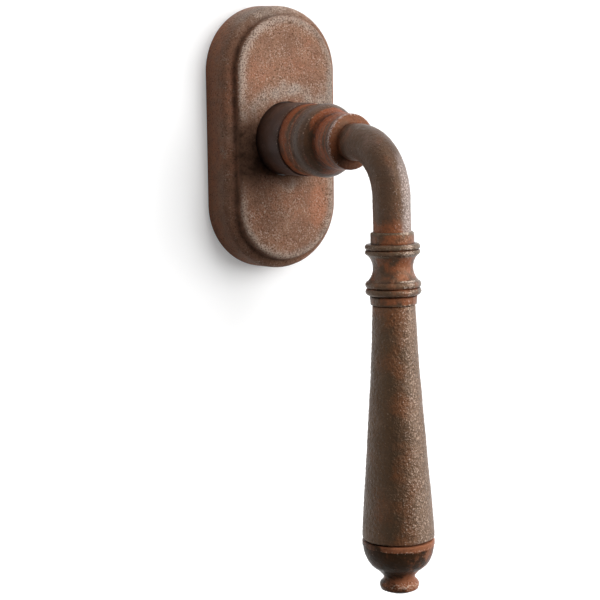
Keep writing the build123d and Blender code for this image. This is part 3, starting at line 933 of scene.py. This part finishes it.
def lever_rust(point):
    """Orange on the flange and where the rod enters the collar."""
    at_flange = by_the_neck(point) * hump(-point.y, flange_back, 1.8)
    at_collar = hump(-point.z, collar_start, 2.6)
    return 0.15 + max(0.95 * at_flange, 0.85 * at_collar) + 0.25 * uneven(point, 4)


def lever_wear_and_highlight(point):
    """Painted highlights of pale grains on the flange's rim and down the side of the rod that catches the
    light, over a little wear.
    """
    if off_axis(point) < flange_radius + 0.5 and -point.y < rod_start + 0.5:
        # Painted highlight on the upper left of the flange's rim
        return 0.7 * hump(off_axis(point), flange_radius, 0.6) * rise(point.z - point.x, -7, 14)
    # A little wear, and a painted highlight down the side of the rod towards the light
    return 0.08 + 0.5 * hump(facing(point), 18, 30) * rise(-point.z, 0, 10)


def lever_sheen_and_bloom(point):
    """A painted grey sheen down the side of the rod that catches the light, and soft grey bloom patches
    elsewhere.
    """
    at_flange = by_the_neck(point) * hump(-point.y, flange_back, 2.5)
    # Painted sheen where the light falls on the rod
    sheen = rise(facing(point), -12, 26) * rise(-point.z, 0, 6)
    return (0.05 + 0.55 * uneven(point, 7) + sheen) * (1 - at_flange)


def lever_shade_and_dark_elbow(point):
    """Painted shade round the lower left of the flange, a painted contact shadow at the root of the rod, and
    darker on the elbow.
    """
    depth = -point.y
    lower_left = rise(-point.z - 0.8 * point.x, -4.2, 12)
    flange = by_the_neck(point) * hump(depth, flange_front - 0.4, 1.2)
    root_contact_shadow = by_the_neck(point) * hump(depth, rod_start, 0.5)
    elbow = hump(point.z, -2, 9) * float(depth > rod_start + 1)
    # Painted shade on the flange, a painted contact shadow at the root, and a darker elbow
    return 0.32 * flange * lower_left + 0.3 * root_contact_shadow + 0.12 * elbow


# Grip collar

def bead(station, radius, thickness, start, end):
    """The round of one bead, between two angles from the station axis."""
    half = thickness / 2
    return arc((station, radius - half), half, start, end, step=0.13)


def grip_collar():
    """A lead band, two beads, a waist, two more beads and a foot band, bored for rod and tang."""
    bore, seat = tang_radius + running_gap, rod_radius + running_gap
    seat_end = rod_end + running_gap
    second_upper, second_lower = upper_bead + upper_bead_pitch, lower_bead + lower_bead_pitch
    upper_valley = degrees(asin(upper_bead_pitch / upper_bead_thickness))
    lower_valley = degrees(asin(lower_bead_pitch / lower_bead_thickness))
    upper_half, lower_half = upper_bead_thickness / 2, lower_bead_thickness / 2
    edge_centre = (collar_start + lead_band_edge, lead_band_radius - lead_band_edge)
    waist_start = (second_upper + upper_half, waist_edge_radius)
    waist_end = (lower_bead - lower_half, waist_edge_radius)
    section = half_section(
        arc(edge_centre, lead_band_edge, 180, 90, step=0.12),
        line((edge_centre[0], lead_band_radius), (upper_bead - upper_half, lead_band_radius), step=0.2),
        bead(upper_bead, upper_bead_radius, upper_bead_thickness, 195, 90 - upper_valley),
        bead(second_upper, upper_bead_radius, upper_bead_thickness, 90 + upper_valley, 0),
        bow(waist_start, (waist_station, waist_radius), waist_end, step=0.2),
        bead(lower_bead, lower_bead_radius, lower_bead_thickness, 180, 90 - lower_valley),
        bead(second_lower, lower_bead_radius, lower_bead_thickness, 90 + lower_valley, 0),
        line((second_lower + lower_half, foot_band_radius), (collar_end, foot_band_end_radius), step=0.2),
        corners(
            (collar_end, foot_band_end_radius), (collar_end, bore), (seat_end, bore),
            (seat_end, seat), (collar_start, seat), (collar_start, edge_centre[1]),
        ),
    )
    return spun(section, segments=168, closed=True)


def collar_fields(point, bend):
    """Reddish hollows and olive crests, with painted glints of pale grains on the side that faces straight
    out.
    """
    high, low = max(bend, 0), max(-bend, 0)
    way = facing(point)
    # Painted glints on the beads, where the light catches them
    painted_glint = hump(way, 2, 15)
    worn_and_highlight = 0.05 + 0.3 * high + painted_glint * (0.15 + 1.1 * high)
    rust = 0.4 + 0.3 * hump(way, 0, 45) + 0.7 * uneven(point, 2.0) - 1.2 * min(high, 1)
    bloom_and_sheen = 1.1 * min(high, 1) + 0.3 * hump(way, 50, 30)
    return worn_and_highlight, rust, 1.1 * low, bloom_and_sheen


# Grip sleeve

def grip_sleeve():
    """The long tapered grip, bored for the tang."""
    bore, edge = tang_radius + running_gap, grip_edge_radius
    taper = [
        (grip_start + edge, grip_top_radius), (grip_start + grip_upper_length, grip_upper_radius),
        (grip_start + grip_lower_length, grip_lower_radius), (grip_end - edge, grip_end_radius),
    ]
    section = half_section(
        arc((grip_start + edge, grip_top_radius - edge), edge, 180, 90, step=0.1),
        through(taper, (1.0, 0.03), (1.0, 0.04)),
        arc((grip_end - edge, grip_end_radius - edge), edge, 90, 0, step=0.1),
        corners(
            (grip_end, grip_end_radius - edge), (grip_end, bore), (grip_start, bore),
            (grip_start, grip_top_radius - edge),
        ),
    )
    return spun(section, segments=210, closed=True)


def grip_rust(point):
    """Warmer at the top end, and in two bands down the grip, left and right of its sheen."""
    top = hump(-point.z, grip_start, 3.6)
    bands = hump(facing(point), -15, 22) + 0.8 * hump(facing(point), 42, 14)
    return 0.1 + 0.35 * bands + 0.9 * top + 0.7 * uneven(point, 6)


def grip_wear_and_highlight(point):
    """Painted highlights of pale grains on the bumps where the sheen begins, over a little wear."""
    return 0.05 + 0.42 * hump(facing(point), 2, 24)


def grip_sheen_and_bloom(point):
    """A soft painted sheen down the right half, a little grey painted reflection along the left edge, and
    soft bloom patches.
    """
    way = facing(point)
    sheen = rise(way, -17, 28) - 0.25 * rise(way, 25, 20)
    return 0.05 + 0.2 * hump(way, -75, 30) + 0.85 * sheen + 0.4 * uneven(point, 4)


def grip_painted_shade(point):
    """Painted shade down the middle, most of all in the lower half."""
    lower = rise(-point.z, grip_start + 14, 20)
    return (0.2 + 0.18 * lower) * hump(facing(point), -30, 20)


# Grip finial

def grip_finial():
    """A lip, a dome and a button on a short neck, bored blind for the tang."""
    bore, bore_floor, edge = tang_radius + running_gap, tang_end + tang_end_gap, finial_edge_radius
    waist = (finial_neck, finial_neck_radius)
    crest = (finial_neck + button_crest, button_radius)
    edge_point = (finial_neck + button_edge, button_edge_radius)
    dome = [
        (lip_end, dome_radius), (finial_start + dome_upper_length, dome_upper_radius),
        (finial_start + dome_mid_length, dome_mid_radius),
        (finial_start + dome_lower_length, dome_lower_radius), waist,
    ]
    section = half_section(
        corners((bore_floor, 0), (bore_floor, bore), (finial_start, bore),
                (finial_start, finial_lip_radius - edge)),
        arc((finial_start + edge, finial_lip_radius - edge), edge, 180, 90, step=0.1),
        line((finial_start + edge, finial_lip_radius), (lip_end, finial_lip_radius), step=0.15),
        through(dome, (1, 0), (1, 0), step=0.22),
        curve(waist, crest, (1, 0), (1, 0), step=0.18),
        curve(crest, edge_point, (1, 0), (0.93, -0.37), step=0.18),
        curve(edge_point, (finial_end, 0), (0.45, -0.89), (0, -1), step=0.2),
    )
    return spun(section, segments=200, closed=False)


def finial_skin(point):
    """The outside and the whole end below the tang, and not the bore."""
    return float(off_axis(point) > tang_radius + 0.4 or -point.y > tang_end + 1)


def finial_rust_and_light(point):
    """Orange lip and neck, painted brighter towards the light, and a reddish right side."""
    station, way = -point.z, facing(point)
    # Painted light: more orange on the side towards the light
    lit = rise(way, -65, 60)
    lip = rise(lip_end - station, 0, 0.3)
    neck = hump(station, finial_neck + 0.4, 2.2)
    right = hump(way, 25, 30)
    return (0.3 + 0.75 * lit) * max(lip, 0.85 * neck) + 0.5 * right + 0.4 * uneven(point, 2.0)


def finial_highlight(point):
    """A painted highlight: a pale line along the lower edge of the lip, and pale grains on the button, on the
    side towards the light.
    """
    station = -point.z
    lip_line = hump(station, lip_end - 0.25, 0.3)
    button = hump(station, finial_neck + 1.2, 1.0)
    return 0.6 * (lip_line + button) * hump(facing(point), -5, 40)


def finial_bloom(point):
    """A little grey along the left edge."""
    return 0.25 * hump(facing(point), -88, 22) + 0.15 * uneven(point, 3)


def finial_dark_crease(point):
    """A dark crease along the lower edge of the button."""
    return 0.45 * hump(-point.z, finial_neck + button_edge, 0.35)


# All pieces

def build_pieces():
    """Makes the seven pieces that show, each with its relief, its finish and its fields."""
    shell = ring_shell(rose_rings(), around=480, closed=True)
    roughen(shell, rose_relief, rose_skin)
    finished(shell, "rose", "rose_cover", "cover", rose_finish, rose_fields)

    shell = bearing_sleeve()
    fields = turned_fields(
        sleeve_rust, sleeve_bloom, sleeve_wear, sleeve_dark_at_rose, crest_wear=0.2, groove_grime=0.4)
    finished(shell, "sleeve", "bearing_sleeve", "base", sleeve_finish, fields)

    shell = handle_neck()
    roughen(shell, cast_relief(swell=5.0, swell_height=0.05, bump=0.9, bump_height=0.03), neck_skin)
    fields = turned_fields(neck_rust_and_light, neck_bloom, neck_wear, neck_cove_shade_and_dark_root, crest_wear=0.3, groove_grime=0.6)
    finished(shell, "neck", "handle_neck", "handle", neck_finish, fields)

    shell = lever_arm()
    roughen(shell, cast_relief(swell=6.0, swell_height=0.06, bump=0.9, bump_height=0.08), lever_skin)
    fields = turned_fields(lever_rust, lever_sheen_and_bloom, lever_wear_and_highlight, lever_shade_and_dark_elbow, crest_wear=0.1, groove_grime=0.4)
    finished(shell, "lever", "lever_arm", "handle", lever_finish, fields)

    shell = grip_collar()
    relief = cast_relief(swell=5.0, swell_height=0.06, bump=0.9, bump_height=0.05)
    roughen(shell, relief, beyond_radius(rod_radius + 0.25))
    on_grip(shell)
    finished(shell, "collar", "grip_collar", "handle", collar_finish, collar_fields)

    shell = grip_sleeve()
    relief = cast_relief(swell=7.0, swell_height=0.12, bump=0.95, bump_height=0.13)
    roughen(shell, relief, beyond_radius(tang_radius + 0.4))
    on_grip(shell)
    fields = turned_fields(grip_rust, grip_sheen_and_bloom, grip_wear_and_highlight, grip_painted_shade, crest_wear=0.3, groove_grime=0.3)
    finished(shell, "grip", "grip_sleeve", "handle", grip_finish, fields)

    shell = grip_finial()
    roughen(shell, cast_relief(swell=5.0, swell_height=0.08, bump=0.95, bump_height=0.05), finial_skin)
    on_grip(shell)
    fields = turned_fields(
        finial_rust_and_light, finial_bloom, finial_highlight, finial_dark_crease, crest_wear=0.15, groove_grime=0.6)
    finished(shell, "finial", "grip_finial", "handle", finial_finish, fields)


def dress_cad_nodes():
    """Finishes for the pieces that keep their solids."""
    finishes = {
        zinc_finish: ("base_plate",),
        plated_finish: ("spring_retainer", "retainer_screws", "fixing_screw_upper", "fixing_screw_lower",
                        "clip_rivets", "square_spindle", "detent_cam"),
        spring_finish: ("detent_spring_right", "detent_spring_left", "cover_clip_upper", "cover_clip_lower",
                        "spindle_pin", "retaining_ring", "disc_spring"),
        acetal_finish: ("journal_bush", "thrust_washer"),
    }
    for finish, nodes in finishes.items():
        for name in nodes:
            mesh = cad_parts[name].data
            mesh.materials.clear()
            mesh.materials.append(finish)


# Wall, lights and camera

# How bright the wall is where it is seen, by the distance beyond the rose's edge: dimmer close to the rose,
# which paints a shadow round it
wall_reach = 1500
wall_glow_and_painted_shadow = {-4: 0.24, -1: 0.24, 1: 0.3, 3: 0.36, 8: 0.4, 16: 0.46, 30: 0.56, wall_reach: 0.56}


def seen_rays(tree, others, seen):
    """One strength for rays that show the background, and another for all the others."""
    path = tree.nodes.new("ShaderNodeLightPath")
    shown = path.outputs["Is Camera Ray"]
    for kind in ("Is Glossy Ray", "Is Transmission Ray"):
        larger = add_node(tree, "ShaderNodeMath", {0: shown, 1: path.outputs[kind]}, operation="MAXIMUM")
        shown = larger.outputs[0]
    return add_node(tree, "ShaderNodeMix", {0: shown, 2: others, 3: seen}, data_type="FLOAT").outputs[0]


def wall_finish():
    """Matt white with its own glow in front, dimmed near the rose as a painted shadow, and clear from behind.
    """
    material = bpy.data.materials.new("wall white")
    material.use_nodes = True
    tree = material.node_tree
    tree.nodes.clear()
    matt_white = add_node(tree, "ShaderNodeBsdfDiffuse", {"Color": (0.74, 0.74, 0.74, 1)})
    level = add_node(tree, "ShaderNodeAttribute", {}, attribute_name="glow_with_painted_shadow").outputs["Fac"]
    glow_with_painted_shadow = add_node(tree, "ShaderNodeEmission", {"Strength": seen_rays(tree, 0.0, level)})
    front = add_node(tree, "ShaderNodeAddShader", {0: matt_white.outputs[0], 1: glow_with_painted_shadow.outputs[0]})
    clear = add_node(tree, "ShaderNodeBsdfTransparent", {})
    behind = add_node(tree, "ShaderNodeNewGeometry", {}).outputs["Backfacing"]
    surface = add_node(tree, "ShaderNodeMixShader", {0: behind, 1: front.outputs[0], 2: clear.outputs[0]})
    add_node(tree, "ShaderNodeOutputMaterial", {"Surface": surface.outputs[0]})
    return material


def wall():
    """The sash face round the rose, just behind the plane that the base plate rests on."""
    depth = -0.1
    shell = ring_shell([(rose_radius + beyond, depth) for beyond in wall_glow_and_painted_shadow], around=96, closed=False)
    level = shell.verts.layers.float.new("glow_with_painted_shadow")
    for vert in shell.verts:
        beyond = rose_reach(vert.co) - rose_radius
        vert[level] = wall_glow_and_painted_shadow[min(wall_glow_and_painted_shadow, key=lambda distance: abs(distance - beyond))]
    if shell.faces[:][0].normal.y > 0:
        bmesh.ops.reverse_faces(shell, faces=shell.faces)
    bmesh.ops.scale(shell, vec=(MM, MM, MM), verts=shell.verts)
    mesh = bpy.data.meshes.new("wall")
    shell.to_mesh(mesh)
    shell.free()
    mesh.materials.append(wall_finish())
    backdrop = bpy.data.objects.new("wall", mesh)
    bpy.context.scene.collection.objects.link(backdrop)


def room_light():
    """A room that is dim on the handle's side of the wall, bright behind it and white where it is seen."""
    dim, bright = 0.035, 0.7
    world = bpy.data.worlds.new("room")
    bpy.context.scene.world = world
    world.use_nodes = True
    tree = world.node_tree
    direction = add_node(tree, "ShaderNodeTexCoord", {}).outputs["Generated"]
    inward = add_node(tree, "ShaderNodeSeparateXYZ", {0: direction}).outputs["Y"]
    change = {"Value": inward, "From Min": -0.1, "From Max": 0.1, "To Min": dim, "To Max": bright}
    strength = add_node(tree, "ShaderNodeMapRange", change).outputs[0]
    background = tree.nodes["Background"]
    background.inputs["Color"].default_value = (1, 1, 1, 1)
    tree.links.new(seen_rays(tree, strength, 1.0), background.inputs["Strength"])


def lamp(name, azimuth, elevation, distance, size, power):
    """A square soft box, right of the wall's normal by its azimuth, with places and sizes in metres."""
    light = bpy.data.lights.new(name, "AREA")
    light.shape = "SQUARE"
    light.size = size
    light.energy = power
    turn, up = radians(azimuth), radians(elevation)
    out = Vector((sin(turn) * cos(up), -cos(turn) * cos(up), sin(up)))
    middle_of_handle = Vector((0, -0.03, -0.03))
    towards_it = out.to_track_quat("Z", "Y").to_matrix().to_4x4()
    holder = bpy.data.objects.new(name, light)
    holder.matrix_world = Matrix.Translation(middle_of_handle + out * distance) @ towards_it
    bpy.context.scene.collection.objects.link(holder)


def camera():
    """The photograph's viewpoint, fitted to the outlines of rose, neck and grip, with angles in radians."""
    place = Vector((-208.667, -345.219, 15.285)) * MM
    yaw, pitch, roll = 0.567, -0.148, -0.011
    sensor, image_width, focal_pixels = 36.0, 600, 1474.572
    forward = Vector((sin(yaw) * cos(pitch), cos(yaw) * cos(pitch), sin(pitch)))
    level = Vector((cos(yaw), -sin(yaw), 0))
    upright = level.cross(forward)
    right = level * cos(roll) + upright * sin(roll)
    up = upright * cos(roll) - level * sin(roll)
    lens = bpy.data.cameras.new("camera")
    lens.sensor_width = sensor
    lens.lens = sensor * focal_pixels / image_width
    holder = bpy.data.objects.new("camera", lens)
    turn = Matrix((right, up, -forward)).transposed().to_4x4()
    holder.matrix_world = Matrix.Translation(place) @ turn
    bpy.context.scene.collection.objects.link(holder)
    bpy.context.scene.camera = holder


bpy.context.scene.view_settings.view_transform = "Standard"
build_pieces()
dress_cad_nodes()
wall()
room_light()
lamp("key light", azimuth=25, elevation=18, distance=0.9, size=0.7, power=8.2)
lamp("side light", azimuth=68, elevation=10, distance=0.9, size=0.5, power=2.5)
lamp("top light", azimuth=10, elevation=62, distance=0.9, size=0.5, power=2.7)
camera()
